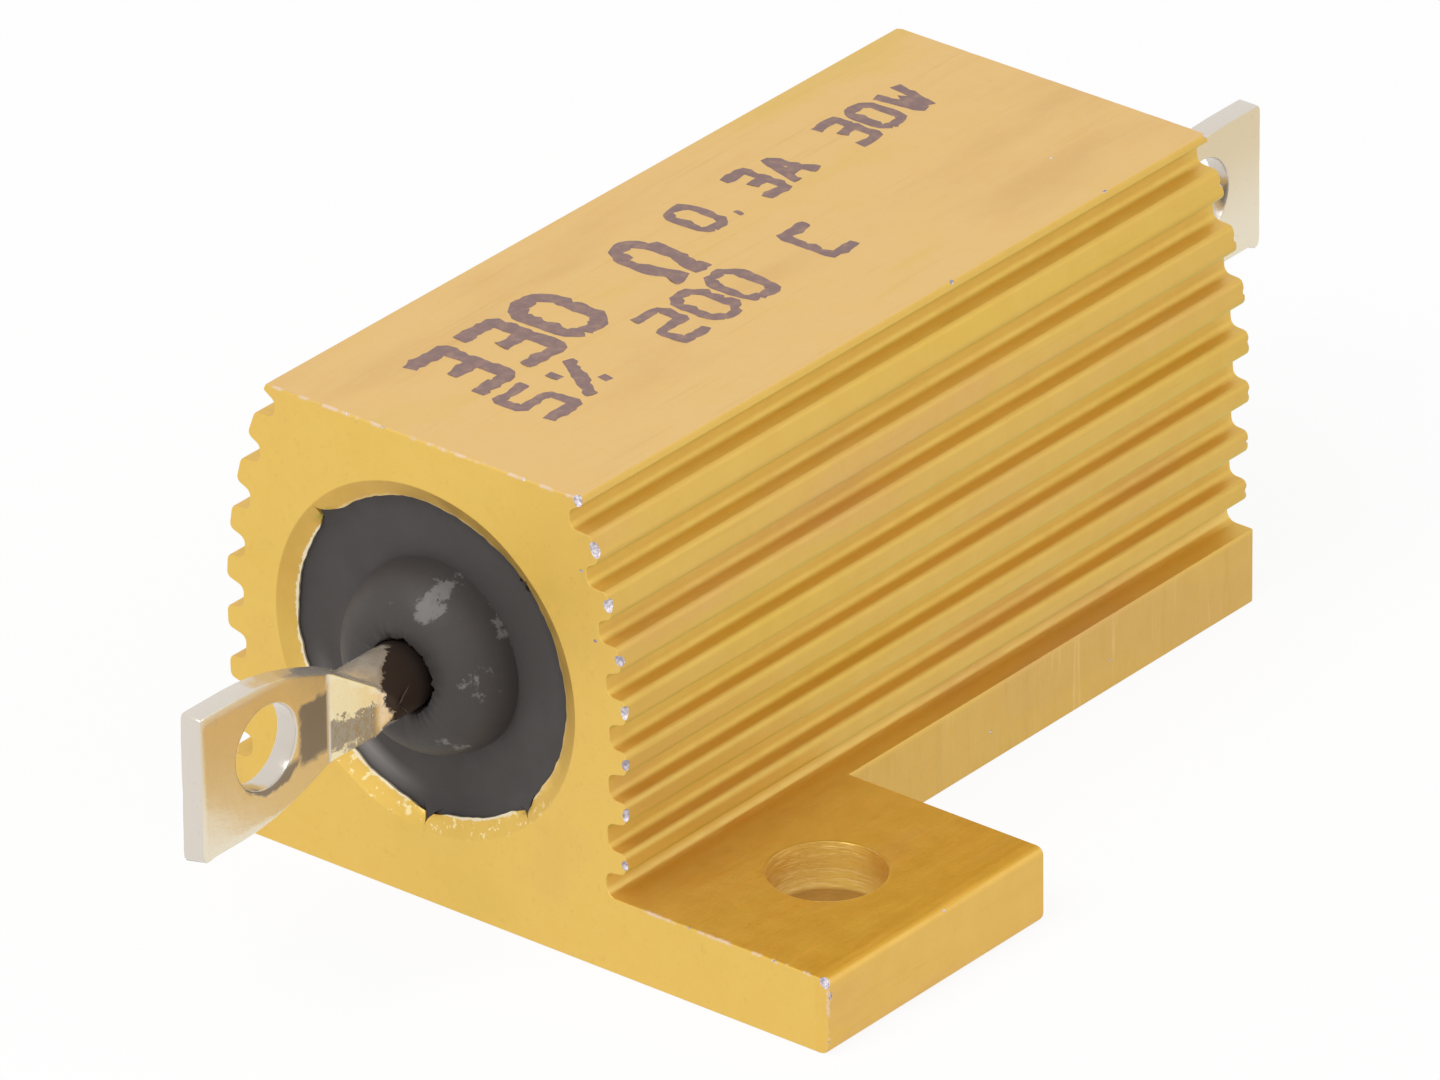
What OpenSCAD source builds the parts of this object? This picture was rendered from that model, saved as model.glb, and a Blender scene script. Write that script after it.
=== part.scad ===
// Aluminium housed power resistor for chassis mounting.
// Millimetres. X runs along the body and Z points up from the mounting face.
// The origin is the centre of the two fixing holes, on the mounting face.

/* [Housing] */
// Length of the finned extrusion
body_l = 27.3; // [25:0.1:40]
// Height from the mounting face to the flat top
body_h = 14.04; // [13.6:0.02:15]
// Width over the fin tips at the widest height
fin_w = 13.94; // [13.8:0.02:15]
// Width of the base where the flange is cut away
base_w = 14.2; // [14.1:0.1:16]
// Overall width over the two fixing tabs
span = 27.56; // [26.5:0.02:32]
// Thickness of the tabs and base
tab_t = 2.3; // [2:0.05:2.5]
// Length of each tab along the body
tab_l = 9.3; // [9:0.02:11]

/* [Fins] */
// Grooves down each side
grooves = 8; // [7:1:9]
// Depth of the lowest groove
groove_depth = 0.66; // [0.5:0.02:0.8]
// Radius of the bowed flank that the fin tips lie on
flank_r = 16.5; // [15:0.5:30]

/* [Fixing holes] */
// Diameter of the holes
hole_d = 3.3; // [2.8:0.1:3.6]
// Hole spacing along the body
hole_dx = 17.9; // [17:0.1:19]
// Hole spacing across the body
hole_dy = 20; // [19.4:0.1:21]

/* [Bore] */
// Height of the bore's axis above the mounting face
bore_z = 7.38; // [7.2:0.02:7.8]
// Diameter of the bore inside the housing
bore_d = 10.4; // [10.2:0.1:10.4]
// Diameter at the edge of the coined lip
lip_d = 9.4; // [9:0.1:9.4]
// Depth of that edge behind the end face
lip_depth = 0.28; // [0.2:0.01:0.35]

/* [Moulding] */
// Depth of the moulded face behind the end face
recess = 0.55; // [0.45:0.05:0.55]
// Diameter of the boss round each terminal
boss_d = 5.6; // [4.8:0.1:6]
// Height of the boss beyond the end face
boss_h = 1.15; // [0.8:0.05:1.5]

/* [Resistance element] */
// Diameter of the ceramic core
core_d = 6; // [5:0.2:6.4]
// Cover of moulding over each end cap, from the end face
end_cover = 4; // [3.5:0.1:5]
// Diameter of the resistance wire
wire_d = 0.55; // [0.4:0.05:0.7]
// How far the element sits off centre, towards the front
element_shift = 0.25; // [0:0.05:0.5]

/* [Terminals] */
// Reach of each terminal beyond its end face, with the element centred
reach = 9.4; // [9:0.05:11]
// Diameter of the round shank
shank_d = 2; // [1.8:0.1:2.2]
// Thickness of the flattened lug
lug_t = 0.7; // [0.5:0.05:0.9]
// Height of the lug at its tip
lug_h = 4.34; // [4:0.02:4.8]
// Diameter of the eye in the lug
eye_d = 2.45; // [2:0.05:2.7]

/* [Hidden] */
$fn = 64;
eps = 0.01;

// Extrusion: the fin tips lean in below the waist and follow an arc above it.
waist_z = body_h / 2;
draft = 0.025;
groove_pitch = (body_h - tab_t - 0.89) / (grooves - 1);
groove_z0 = tab_t + 0.4;
groove_below = 0.32 * groove_pitch;
tip_r = 0.2;
root_r = 0.22;
flange_r = 0.45;
base_r = 0.3;
inner_r = 0.3;
top_r = 0.12;
corner_steps = 4;

// Coined lip: an inward cone, then an undercut back to the bore.
bore_r = bore_d / 2;
lip_r = lip_d / 2;
lip_root = lip_depth + bore_r - lip_r;
// Notches, anticlockwise from the side of that end's tab, seen from outside
notch_angles = [45, 138, 225, 268, 313];
notch_half_w = 0.32;
notch_tip_r = bore_r - 0.04;

// Moulding: the resin is drawn up to the lip, and leaves a crater round the shank.
drawn_depth = lip_depth + 0.08;
drawn_r = lip_r + drawn_depth - lip_depth;
flat_r = lip_r - 0.45;
boss_top_r = 1.45;
crater_r = 1.25;
crater_depth = 0.6;
boss_steps = 8;

// Resistance element
core_r = core_d / 2;
cap_wall = 0.4;
cap_skirt = 3;
cap_r = core_r + cap_wall;
core_l = body_l - 2 * (end_cover + cap_wall);
winding_room = core_l - 2 * cap_skirt - 0.6;
turns = floor(winding_room / wire_d);
winding_l = turns * wire_d;
head_r = 1.6;
head_t = 0.5;

// Lug, with stations measured outwards from the end face
press_from = 2.05;
press_to = 4.2;
flare_from = 2.7;
flare_to = 7.75;
neck_h = 1.5;
lug_rise = 0.24;
eye_at = 6.7;
eye_rise = 0.46;
lug_corner_r = 0.35;
flare_steps = 8;

// Half width over the fin tips at height z
function tip_y(z) =
    z < waist_z ? fin_w / 2 - (waist_z - z) * draft
                : fin_w / 2 - flank_r + sqrt(pow(flank_r, 2) - pow(z - waist_z, 2));

// Corners [y, z, radius] of groove i, from its lower lip to its upper lip. Each
// fin has a level top. Its underside tilts more towards the top of the flank,
// where the grooves get shallower.
function up(i) = i / (grooves - 1);
function groove_z(i) = groove_z0 + i * groove_pitch;
function floor_y(i) = tip_y(groove_z(i)) - groove_depth + 0.14 * up(i);
function lower_lip(i) =
    let (z = groove_z(i) - groove_below) [tip_y(z), z, tip_r];
function lower_root(i) = [floor_y(i) + 0.04, groove_z(i) - groove_below + 0.03, root_r];
function upper_root(i) = [floor_y(i), groove_z(i) + 0.3 - 0.28 * up(i), root_r];
function upper_lip(i) =
    let (z = groove_z(i) + 0.42 - 0.14 * up(i)) [tip_y(z), z, i == grooves - 1 ? top_r / 2 : tip_r];

// Points that round the corner b between a and c
function rounded_corner(a, b, c) =
    let (u = [a[0] - b[0], a[1] - b[1]] / norm([a[0] - b[0], a[1] - b[1]]),
         v = [c[0] - b[0], c[1] - b[1]] / norm([c[0] - b[0], c[1] - b[1]]),
         half = acos(u * v) / 2,
         centre = [b[0], b[1]] + (u + v) / norm(u + v) * b[2] / sin(half),
         from = [b[0], b[1]] + u * b[2] / tan(half) - centre,
         to = [b[0], b[1]] + v * b[2] / tan(half) - centre,
         sweep = 180 - 2 * half,
         turn = from[0] * to[1] - from[1] * to[0] > 0 ? 1 : -1)
    [for (k = [0:corner_steps])
        let (t = turn * sweep * k / corner_steps)
        centre + [from[0] * cos(t) - from[1] * sin(t), from[0] * sin(t) + from[1] * cos(t)]];

function rounded_path(points) =
    let (n = len(points))
    [for (i = [0:n - 1])
        each points[i][2] == 0
            ? [[points[i][0], points[i][1]]]
            : rounded_corner(points[(i + n - 1) % n], points[i], points[(i + 1) % n])];

// One flank of the extrusion, from the mounting face up to the flat top
function flank() = concat(
    [[span / 2, 0, base_r], [span / 2, tab_t, flange_r], [floor_y(0), tab_t, inner_r],
     upper_root(0), upper_lip(0)],
    [for (i = [1:grooves - 1]) each [lower_lip(i), lower_root(i), upper_root(i), upper_lip(i)]],
    [[tip_y(body_h), body_h, top_r]]);

function mirrored(points) =
    [for (i = [len(points) - 1:-1:0]) [-points[i][0], points[i][1], points[i][2]]];

// Places what is drawn for the front end, at -X, at either end: a half turn
// about Z carries the front onto the rear.
module at_end(rear) {
    rotate([0, 0, rear ? 180 : 0])
        translate([-body_l / 2, 0, bore_z])
            children();
}

// The same for a piece of the resistance element
module at_element_end(rear) {
    translate([-element_shift, 0, 0])
        at_end(rear)
            children();
}

// Sweeps an (x, r) outline round the bore's axis
module turned() {
    translate([0, 0, bore_z])
        rotate([0, 90, 0])
            rotate_extrude()
                rotate([0, 0, 90])
                    mirror([0, 1, 0])
                        children();
}

module extrusion() {
    translate([-body_l / 2, 0, 0])
        rotate([90, 0, 90])
            linear_extrude(body_l)
                polygon(rounded_path(concat(flank(), mirrored(flank()))));
}

// What is sawn away behind the front tab, flush with the base
module flange_cut() {
    translate([tab_l - body_l / 2, -span / 2 - 1, -1])
        cube([body_l, (span - base_w) / 2 + 1, tab_t + 2]);
}

module fixing_holes() {
    for (side = [-1, 1])
        translate([side * hole_dx / 2, side * hole_dy / 2, -1])
            cylinder(h = tab_t + 2, d = hole_d);
}

// Bore with its coined lips: the rim of each end face is pressed inwards over
// the moulding and splits into notches.
module coined_bore() {
    end = body_l / 2;
    turned()
        polygon([[-end - 1, 0], [-end - 1, bore_r], [-end, bore_r], [-end + lip_depth, lip_r],
                 [-end + lip_root, bore_r], [end - lip_root, bore_r], [end - lip_depth, lip_r],
                 [end, bore_r], [end + 1, bore_r], [end + 1, 0]]);
    for (rear = [false, true], angle = notch_angles)
        at_end(rear)
            rotate([270 - angle, 0, 0])
                rotate([0, 90, 0])
                    translate([0, 0, -1])
                        linear_extrude(lip_root + 1)
                            polygon([[0, 0], [lip_r, notch_half_w], [notch_tip_r, 0],
                                     [lip_r, -notch_half_w]]);
}

module housing() {
    color("goldenrod")
        difference() {
            extrusion();
            flange_cut();
            rotate([0, 0, 180]) flange_cut();
            fixing_holes();
            coined_bore();
        }
}

// Outline (x, r) of everything that the moulding is cast round
module element_outline() {
    half = core_l / 2;
    translate([-half, 0]) square([core_l, core_r]);
    for (side = [-1, 1]) {
        translate([side * (half + cap_wall - (cap_skirt + cap_wall) / 2) - (cap_skirt + cap_wall) / 2, 0])
            square([cap_skirt + cap_wall, cap_r]);
        translate([side * (body_l / 2 - end_cover + head_t / 2) - head_t / 2, 0])
            square([head_t, head_r]);
        translate([side * (half + body_l / 2) - body_l / 2, 0])
            square([body_l, shank_d / 2]);
    }
    winding_outline();
}

// One layer of close turns, each turn a round crown
module winding_outline() {
    translate([-winding_l / 2, core_r])
        square([winding_l, wire_d / 2]);
    for (i = [0:turns - 1])
        translate([(i + 0.5) * wire_d - winding_l / 2, core_r + wire_d / 2])
            circle(wire_d / 2, $fn = 16);
}

// Outline (x, r) of one end's boss: a domed nose with a crater round the shank
function boss_points() =
    let (base = -body_l / 2 + recess, rise = recess + boss_h)
    concat(
        [for (i = [0:boss_steps])
            let (t = 90 * i / boss_steps)
            [base - rise * sin(t), boss_top_r + (boss_d / 2 - boss_top_r) * cos(t)]],
        [[-body_l / 2 - boss_h, crater_r], [-body_l / 2 - boss_h + crater_depth, shank_d / 2],
         [-body_l / 2 - boss_h + crater_depth, 0]]);

// Outline (x, r) of the moulding's front end, from the bore's wall to the axis
function moulding_end() =
    let (end = body_l / 2)
    concat([[-end + lip_root, bore_r], [-end + drawn_depth, drawn_r], [-end + recess, flat_r]],
           boss_points());

function flipped(points) = [for (i = [len(points) - 1:-1:0]) [-points[i][0], points[i][1]]];

module moulding() {
    color("dimgray")
        turned()
            difference() {
                polygon(concat(moulding_end(), flipped(moulding_end())));
                translate([-element_shift, 0]) element_outline();
            }
}

module ceramic_core() {
    color("ivory")
        translate([-core_l / 2 - element_shift, 0, bore_z])
            rotate([0, 90, 0])
                cylinder(h = core_l, r = core_r);
}

module resistance_winding() {
    color("peru")
        turned()
            translate([-element_shift, 0]) winding_outline();
}

// Pressed steel cup over one end of the core
module end_cap(rear) {
    color("silver")
        at_element_end(rear)
            translate([end_cover, 0, 0])
                rotate([0, 90, 0])
                    difference() {
                        cylinder(h = cap_skirt + cap_wall, r = cap_r);
                        translate([0, 0, cap_wall]) cylinder(h = cap_skirt + 1, r = core_r);
                    }
}

// Side view of the flattened lug: it flares in a quarter sine and rises a little
// above the shank's axis
function flare_x(t) = -flare_from - (flare_to - flare_from) * t;
function flare(t) = neck_h / 2 + (lug_h - neck_h) / 2 * sin(90 * t);
function rise(t) = lug_rise * min(1, 4 * t);

module lug_outline() {
    steps = [for (i = [0:flare_steps]) i / flare_steps];
    polygon(rounded_path(concat(
        [[-press_from, 0, 0]],
        [for (t = steps) [flare_x(t), rise(t) + flare(t), 0]],
        [[-reach, lug_rise + lug_h / 2, lug_corner_r / 2],
         [-reach, lug_rise - lug_h / 2, lug_corner_r]],
        [for (t = steps) [flare_x(1 - t), rise(1 - t) - flare(1 - t), 0]])));
}

// Plan of the terminal: the round shank is pressed flat between two wedge faces
module press_plan() {
    half = [[end_cover, shank_d], [-press_from, shank_d / 2 + eps], [-press_to, lug_t / 2],
            [-reach - 1, lug_t / 2]];
    polygon(concat(half, [for (i = [len(half) - 1:-1:0]) [half[i][0], -half[i][1]]]));
}

// Tinned terminal: a head against the end cap, a round shank and a pierced lug
module terminal(rear) {
    color("wheat")
        at_element_end(rear) {
            difference() {
                intersection() {
                    union() {
                        translate([-press_to, 0, 0])
                            rotate([0, 90, 0])
                                cylinder(h = press_to + end_cover, d = shank_d);
                        rotate([90, 0, 0])
                            linear_extrude(2 * shank_d, center = true)
                                lug_outline();
                    }
                    linear_extrude(2 * lug_h, center = true)
                        press_plan();
                }
                translate([-eye_at, 0, eye_rise])
                    rotate([90, 0, 0])
                        cylinder(h = 2 * shank_d, d = eye_d, center = true);
            }
            translate([end_cover - head_t, 0, 0])
                rotate([0, 90, 0])
                    cylinder(h = head_t, r = head_r);
        }
}

module end_cap_front() { end_cap(false); }
module end_cap_rear() { end_cap(true); }
module terminal_front() { terminal(false); }
module terminal_rear() { terminal(true); }

housing();
moulding();
ceramic_core();
resistance_winding();
end_cap_front();
end_cap_rear();
terminal_front();
terminal_rear();
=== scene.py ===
"""Dresses the aluminium housed power resistor: sawn and worn gold housing, moulded ends, tinned lugs.

Lengths are in millimetres and are turned into metres where a mesh is made. X runs along the
body with the front end at -X, the seen side faces -Y, and the mounting face is at Z = 0.
"""
import math

import bmesh
import bpy
import numpy as np
from mathutils import Matrix, Vector, noise

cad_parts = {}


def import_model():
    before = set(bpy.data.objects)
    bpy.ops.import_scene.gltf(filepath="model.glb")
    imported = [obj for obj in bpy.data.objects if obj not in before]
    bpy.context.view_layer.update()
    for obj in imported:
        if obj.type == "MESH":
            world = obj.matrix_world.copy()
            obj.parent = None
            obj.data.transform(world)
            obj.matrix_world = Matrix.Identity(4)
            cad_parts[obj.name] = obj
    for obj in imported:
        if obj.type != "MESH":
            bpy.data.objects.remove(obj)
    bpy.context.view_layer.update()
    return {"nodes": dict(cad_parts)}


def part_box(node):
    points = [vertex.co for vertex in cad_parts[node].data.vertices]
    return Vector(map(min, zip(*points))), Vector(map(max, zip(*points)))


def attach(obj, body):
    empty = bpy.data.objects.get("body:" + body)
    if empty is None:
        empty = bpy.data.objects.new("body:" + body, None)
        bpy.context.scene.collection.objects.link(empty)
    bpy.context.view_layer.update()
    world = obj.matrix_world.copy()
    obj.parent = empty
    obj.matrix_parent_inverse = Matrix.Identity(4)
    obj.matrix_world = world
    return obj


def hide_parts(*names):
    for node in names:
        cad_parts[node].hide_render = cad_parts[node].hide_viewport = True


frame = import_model()

MM = 0.001


def node_box(node):
    """Lowest and highest corner of a CAD node, in millimetres."""
    low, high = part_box(node)
    return low / MM, high / MM


# Housing, read from the frame
HOUSING_LOW, HOUSING_HIGH = node_box("housing")
BODY_L = HOUSING_HIGH.x - HOUSING_LOW.x
BODY_H = HOUSING_HIGH.z
SPAN = HOUSING_HIGH.y - HOUSING_LOW.y
FRONT = -BODY_L / 2
MOULDING_LOW, MOULDING_HIGH = node_box("moulding")
BORE_R = (MOULDING_HIGH.y - MOULDING_LOW.y) / 2
BORE_Z = (MOULDING_HIGH.z + MOULDING_LOW.z) / 2
BOSS_H = FRONT - MOULDING_LOW.x

# Housing section, as the CAD part draws it
FIN_W = 13.94
BASE_W = 14.2
TAB_T = 2.3
TAB_L = 9.3
GROOVES = 8
GROOVE_DEPTH = 0.66
FLANK_R = 16.5
DRAFT = 0.025
FIRST_GROOVE = 0.4
TOP_LAND = 0.49
GROOVE_Z0 = TAB_T + FIRST_GROOVE
GROOVE_PITCH = (BODY_H - TOP_LAND - GROOVE_Z0) / (GROOVES - 1)
TIP_R = 0.2
ROOT_R = 0.22
HOLE_D = 3.3
HOLE_DX = 17.9
HOLE_DY = 20.0

# Coined rim of the bore
LIP_R = 4.7
LIP_DEPTH = 0.28
LIP_ROOT = LIP_DEPTH + BORE_R - LIP_R
RECESS = 0.55
# Each split of the lip: its angle, how wide it is, and the radius that its tip reaches
NOTCHES = ((45, 0.6, 4.95), (138, 1.3, 5.18), (225, 0.8, 5.0), (268, 1.2, 5.12), (313, 1.2, 5.12))
NOTCH_HALF_W = 0.62

# Moulding, shank and the element inside
DRAWN_DEPTH = LIP_DEPTH + 0.08
DRAWN_R = LIP_R + DRAWN_DEPTH - LIP_DEPTH
FLAT_R = LIP_R - 0.45
BOSS_R = 2.8
BOSS_TOP_R = 1.45
CRATER_R = 1.25
CRATER_DEPTH = 0.6
SHANK_R = 1.0
NECK_X = 18.05
EYE_X = 6.7 - FRONT
EYE_Z = BORE_Z + 0.46
CORE_LOW, CORE_HIGH = node_box("ceramic_core")
CORE_R = (CORE_HIGH.y - CORE_LOW.y) / 2
CAP_LOW, CAP_HIGH = node_box("end_cap_front")
CAP_R = (CAP_HIGH.y - CAP_LOW.y) / 2
ELEMENT_X = (CORE_HIGH.x + CORE_LOW.x) / 2
WINDING_LOW, WINDING_HIGH = node_box("resistance_winding")
WIRE_R = (WINDING_HIGH.y - CORE_R) / 2


# ---- Meshes

def link(obj):
    bpy.context.scene.collection.objects.link(obj)
    return obj


def mesh_object(name, points, faces, edges=()):
    """A new object from points in millimetres."""
    data = bpy.data.meshes.new(name)
    data.from_pydata([tuple(p[i] * MM for i in range(3)) for p in points], list(edges), list(faces))
    data.validate()
    return link(bpy.data.objects.new(name, data))


def edit(obj, change):
    """Runs change(bm) on the object's mesh and puts the result back."""
    bm = bmesh.new()
    bm.from_mesh(obj.data)
    change(bm)
    bm.to_mesh(obj.data)
    bm.free()
    obj.data.update()
    return obj


def applied(obj):
    """Replaces the object's mesh with its evaluated one and takes its modifiers off."""
    depsgraph = bpy.context.evaluated_depsgraph_get()
    data = bpy.data.meshes.new_from_object(obj.evaluated_get(depsgraph), depsgraph=depsgraph)
    obj.modifiers.clear()
    obj.data = data
    return obj


def drop(*objects):
    for obj in objects:
        bpy.data.objects.remove(obj)


def soften(obj, width, segments, angle):
    """Rounds every edge sharper than angle (degrees)."""
    bevel = obj.modifiers.new("soft_edges", "BEVEL")
    bevel.width = width * MM
    bevel.segments = segments
    bevel.limit_method = "ANGLE"
    bevel.angle_limit = math.radians(angle)
    bevel.use_clamp_overlap = False
    return applied(obj)


def triangulated(obj):
    """Cuts every face into triangles, which keeps the next boolean closed."""
    return edit(obj, lambda bm: bmesh.ops.triangulate(bm, faces=bm.faces))


def smooth(obj, angle):
    """Smooth shading, with edges sharper than angle (degrees) kept crisp."""
    obj.data.shade_smooth()
    obj.data.set_sharp_from_angle(angle=math.radians(angle))
    return obj


def coordinates(obj):
    points = np.empty(len(obj.data.vertices) * 3)
    obj.data.vertices.foreach_get("co", points)
    return points.reshape(-1, 3) / MM


def set_coordinates(obj, points):
    obj.data.vertices.foreach_set("co", (points * MM).ravel())
    obj.data.update()


def bridged(name, first, second):
    """A closed solid between two rings of points in the same order."""
    count = len(first)
    faces = [(i, (i + 1) % count, (i + 1) % count + count, i + count) for i in range(count)]
    obj = mesh_object(name, first + second, faces + [tuple(range(count)), tuple(range(count, 2 * count))])
    return edit(obj, lambda bm: bmesh.ops.recalc_face_normals(bm, faces=bm.faces))


def prism(name, outline, low, high):
    """Extrudes a (y, z) outline along X."""
    return bridged(name, *([(x, y, z) for y, z in outline] for x in (low, high)))


def revolved(name, outline, steps, at=lambda x, r, angle: (x, r)):
    """Turns a closed (x, r) outline round the bore's axis. at() may move each point."""
    count = len(outline)
    points = []
    for step in range(steps):
        angle = 2 * math.pi * step / steps
        for x, r in outline:
            x, r = at(x, r, angle)
            points.append((x, r * math.cos(angle), BORE_Z + r * math.sin(angle)))
    faces = [
        (s * count + i, s * count + (i + 1) % count,
         (s + 1) % steps * count + (i + 1) % count, (s + 1) % steps * count + i)
        for s in range(steps) for i in range(count)
    ]
    obj = mesh_object(name, points, faces)

    def close(bm):
        bmesh.ops.remove_doubles(bm, verts=bm.verts, dist=1e-7)
        bmesh.ops.recalc_face_normals(bm, faces=bm.faces)

    return edit(obj, close)


def ripple(point, size, seed=0.0):
    """Smooth noise from -1 to 1 at a point in millimetres, with features about size across."""
    return noise.noise(Vector(point) / size + Vector((seed, 7.3 * seed, -3.1 * seed)))


# ---- Node helpers

def find_socket(sockets, key):
    """A socket by its identifier or name, written with underscores for spaces."""
    for socket in sockets:
        if key in (socket.identifier.replace(" ", "_"), socket.name.replace(" ", "_")):
            return socket
    raise KeyError(key)


class Nodes:
    """Adds nodes to a node tree."""

    def __init__(self, tree):
        self.tree = tree

    def fill(self, socket, value):
        """Feeds a socket from a socket, from a node's first output or with a plain value."""
        if isinstance(value, bpy.types.Node):
            value = value.outputs[0]
        if isinstance(value, bpy.types.NodeSocket):
            self.tree.links.new(value, socket)
        else:
            socket.default_value = value

    def node(self, kind, settings=None, *values, **named):
        """A new node with its settings, and its sockets filled in order or by name."""
        made = self.tree.nodes.new(kind)
        for key, value in (settings or {}).items():
            setattr(made, key, value)
        for socket, value in zip(made.inputs, values):
            self.fill(socket, value)
        for key, value in named.items():
            self.fill(find_socket(made.inputs, key), value)
        return made


class Tree(Nodes):
    """A geometry node tree with named inputs."""

    def __init__(self, name, **inputs):
        super().__init__(bpy.data.node_groups.new(name, "GeometryNodeTree"))
        sockets = self.tree.interface.new_socket
        sockets("Geometry", in_out="INPUT", socket_type="NodeSocketGeometry")
        for key, kind in inputs.items():
            sockets(key.replace("_", " "), in_out="INPUT", socket_type="NodeSocket" + kind)
        sockets("Geometry", in_out="OUTPUT", socket_type="NodeSocketGeometry")
        self.inputs = self.tree.nodes.new("NodeGroupInput").outputs
        self.output = self.tree.nodes.new("NodeGroupOutput").inputs[0]

    def shape(self, key):
        """The mesh of the object given as an input."""
        return self.node("GeometryNodeObjectInfo", Object=self.inputs[key]).outputs["Geometry"]

    def stored(self, key, kind):
        """A value stored on the points."""
        return self.node("GeometryNodeInputNamedAttribute", {"data_type": kind}, Name=key)

    def faced(self, geometry, key):
        """The geometry in the material given as an input."""
        return self.node("GeometryNodeSetMaterial", Geometry=geometry, Material=self.inputs[key])

    def finish(self, result):
        self.fill(self.output, result)
        return self

    def apply(self, obj, **values):
        """Runs the tree on obj with its inputs set by their identifiers, and applies it."""
        modifier = obj.modifiers.new(self.tree.name, "NODES")
        modifier.node_group = self.tree
        for item in self.tree.interface.items_tree:
            key = item.name.replace(" ", "_").lower()
            if item.in_out == "INPUT" and key in values:
                modifier[item.identifier] = values[key]
        return applied(obj)


class Finish(Nodes):
    """A material on Principled BSDF, with helpers that add procedural nodes in millimetres."""

    def __init__(self, name):
        self.material = bpy.data.materials.new(name)
        self.material.use_nodes = True
        super().__init__(self.material.node_tree)
        self.shader = self.tree.nodes["Principled BSDF"]
        where = self.node("ShaderNodeTexCoord").outputs["Object"]
        self.where = self.node("ShaderNodeVectorMath", {"operation": "SCALE"}, where, Scale=1 / MM)
        self.bump_height = None
        self.colour = None

    def math(self, operation, *values):
        return self.node("ShaderNodeMath", {"operation": operation}, *values)

    def plus(self, first, second):
        return self.math("ADD", first, second)

    def minus(self, first, second):
        return self.math("SUBTRACT", first, second)

    def size(self, value):
        return self.math("ABSOLUTE", value)

    def both(self, *factors):
        """The product of some values."""
        total = factors[0]
        for factor in factors[1:]:
            total = self.math("MULTIPLY", total, factor)
        return total

    def length(self, *parts):
        """Length of a vector of up to three parts."""
        joined = self.node("ShaderNodeCombineXYZ", None, *parts)
        return self.node("ShaderNodeVectorMath", {"operation": "LENGTH"}, joined).outputs["Value"]

    def noise(self, size, detail=2.0, roughness=0.5, stretch=(1, 1, 1), distortion=0.0):
        """Noise from 0 to 1 with features about size across, stretched along an axis."""
        mapping = self.node("ShaderNodeMapping", Vector=self.where, Scale=[1 / (size * s) for s in stretch])
        return self.node("ShaderNodeTexNoise", Vector=mapping, Scale=1, Detail=detail, Roughness=roughness,
                         Distortion=distortion).outputs["Fac"]

    def step(self, value, low, high, out_low=0.0, out_high=1.0, kind="SMOOTHSTEP"):
        """Maps value from low..high to out_low..out_high, clamped."""
        return self.node("ShaderNodeMapRange", {"interpolation_type": kind}, value, low, high, out_low,
                         out_high)

    def mix(self, factor, first, second):
        """Mixes two colours."""
        mixed = self.node("ShaderNodeMix", {"data_type": "RGBA"}, factor, A_Color=first, B_Color=second)
        return find_socket(mixed.outputs, "Result_Color")

    def axis(self, vector):
        return self.node("ShaderNodeSeparateXYZ", None, vector).outputs

    def facing(self):
        """The surface's direction in the part's own frame, as three sockets."""
        return self.axis(self.node("ShaderNodeTexCoord").outputs["Normal"])

    def attribute(self, name):
        return self.node("ShaderNodeAttribute", {"attribute_name": name}).outputs["Fac"]

    def raise_by(self, height, amount):
        """Adds a height field, in millimetres at 1, to the finish's bump."""
        part = self.both(height, amount)
        self.bump_height = part if self.bump_height is None else self.plus(self.bump_height, part)

    def tint(self, colour, *factors):
        """Lays a colour over the finish where all the factors are 1."""
        self.colour = self.mix(self.both(*factors), self.colour, colour)

    def done(self, roughness, **constants):
        """Wires colour, roughness and bump, sets the other sockets, and returns the material."""
        for key, value in {"Base_Color": self.colour, "Roughness": roughness, **constants}.items():
            self.fill(find_socket(self.shader.inputs, key), value)
        if self.bump_height is not None:
            bump = self.node("ShaderNodeBump", Distance=MM, Height=self.bump_height)
            self.fill(self.shader.inputs["Normal"], bump)
        return self.material


def rgb(red, green, blue):
    """An sRGB colour of 0 to 255 as a linear one."""
    def linear(value):
        value /= 255
        return value / 12.92 if value <= 0.04045 else ((value + 0.055) / 1.055) ** 2.4
    return (linear(red), linear(green), linear(blue), 1)


# ---- Materials

def sunk_in_groove(f, across, z):
    """How far a flank's surface lies inside the line over the fin tips, in millimetres."""
    above = f.math("MAXIMUM", f.minus(z, waist()), 0)
    below = f.math("MAXIMUM", f.minus(waist(), z), 0)
    curve = f.math("SQRT", f.minus(FLANK_R ** 2, f.math("POWER", above, 2)))
    tips = f.minus(f.plus(curve, FIN_W / 2 - FLANK_R), f.both(below, DRAFT))
    return f.minus(tips, across)


def hole_distance(f, x, y):
    """Distance from the axis of the nearer fixing hole."""
    along = f.minus(f.size(x), HOLE_DX / 2)
    return f.length(along, f.minus(f.size(y), HOLE_DY / 2))


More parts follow.
